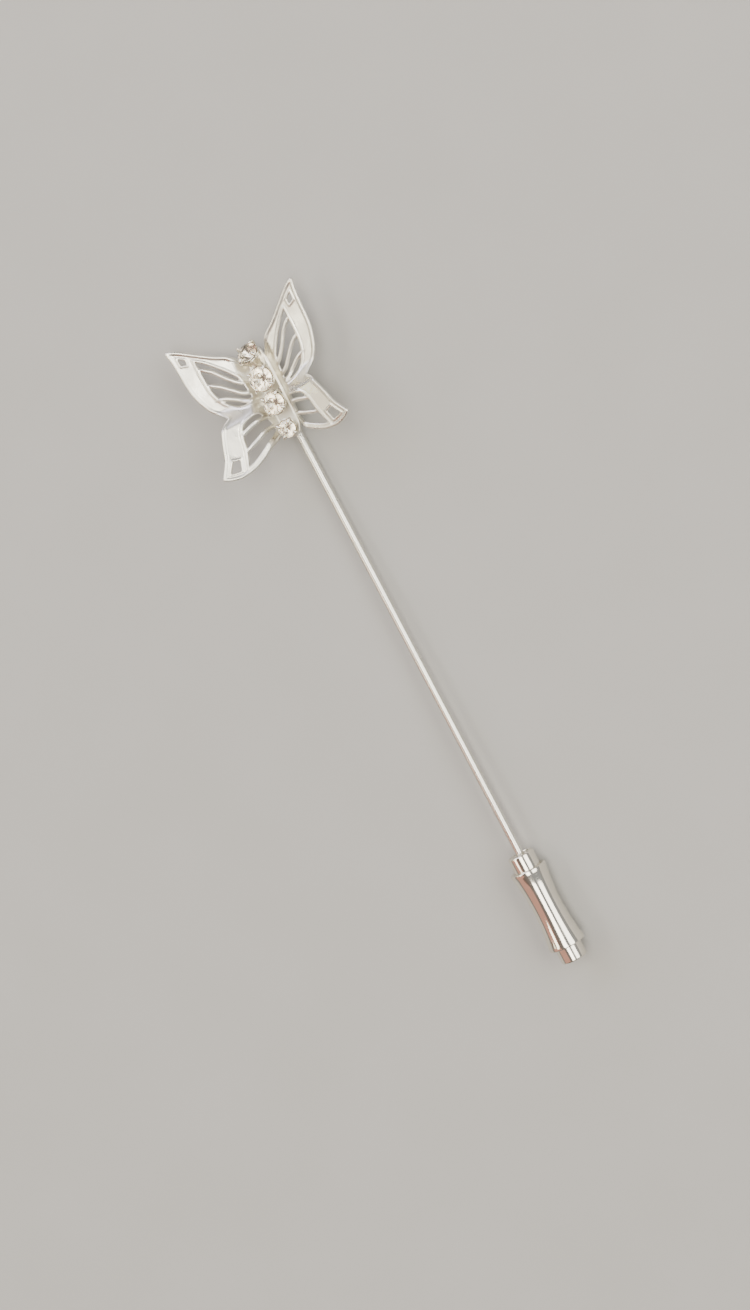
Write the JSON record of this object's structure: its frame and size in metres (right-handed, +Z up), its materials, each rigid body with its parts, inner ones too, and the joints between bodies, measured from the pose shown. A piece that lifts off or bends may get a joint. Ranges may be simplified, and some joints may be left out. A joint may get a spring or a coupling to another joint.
{
  "type": "stick pin",
  "caption": "Stick pin with an openwork butterfly head set with clear stones on a straight needle, and a waisted barrel clutch that pulls off the point and turns on it.",
  "frame": {"origin": "on the needle's axis, where the bare needle leaves the butterfly and the cloth holds it", "axes": "+Y along the needle from its point to the butterfly, +Z up out of the butterfly's face, +X across the wings"},
  "size_m": [0.016, 0.0756, 0.0077],
  "materials": {
    "plated_plate": "bright silver-tone plating, polished",
    "plated_cups": "bright silver-tone plating, polished",
    "cut_stones": "clear faceted crystal, foiled behind",
    "plated_wire": "bright silver-tone plating, polished",
    "solder": "tin solder, wiped smooth",
    "plated_clutch": "bright silver-tone plating, polished",
    "grip_plastic": "natural nylon"
  },
  "bodies": {
    "pin": {"butterfly_wings": "plated_plate", "cup_head": "plated_cups", "cup_thorax": "plated_cups", "cup_waist": "plated_cups", "cup_tail": "plated_cups", "stone_head": "cut_stones", "stone_thorax": "cut_stones", "stone_waist": "cut_stones", "stone_tail": "cut_stones", "needle": "plated_wire", "solder_seam": "solder"},
    "grip": {"clutch_grip": "grip_plastic"},
    "clutch": {"clutch_sleeve": "plated_clutch", "clutch_tube": "plated_clutch", "clutch_guide": "plated_clutch", "clutch_plug": "plated_clutch"}
  },
  "joints": [
    {"name": "clutch_pull", "type": "slide", "parent": "pin", "child": "grip", "axis": [0, -1, 0], "range_m": [0, 0.012]},
    {"name": "clutch_turn", "type": "hinge", "parent": "grip", "child": "clutch", "pos_m": [0, -0.0555, 0], "axis": [0, 1, 0], "continuous": true}
  ]
}
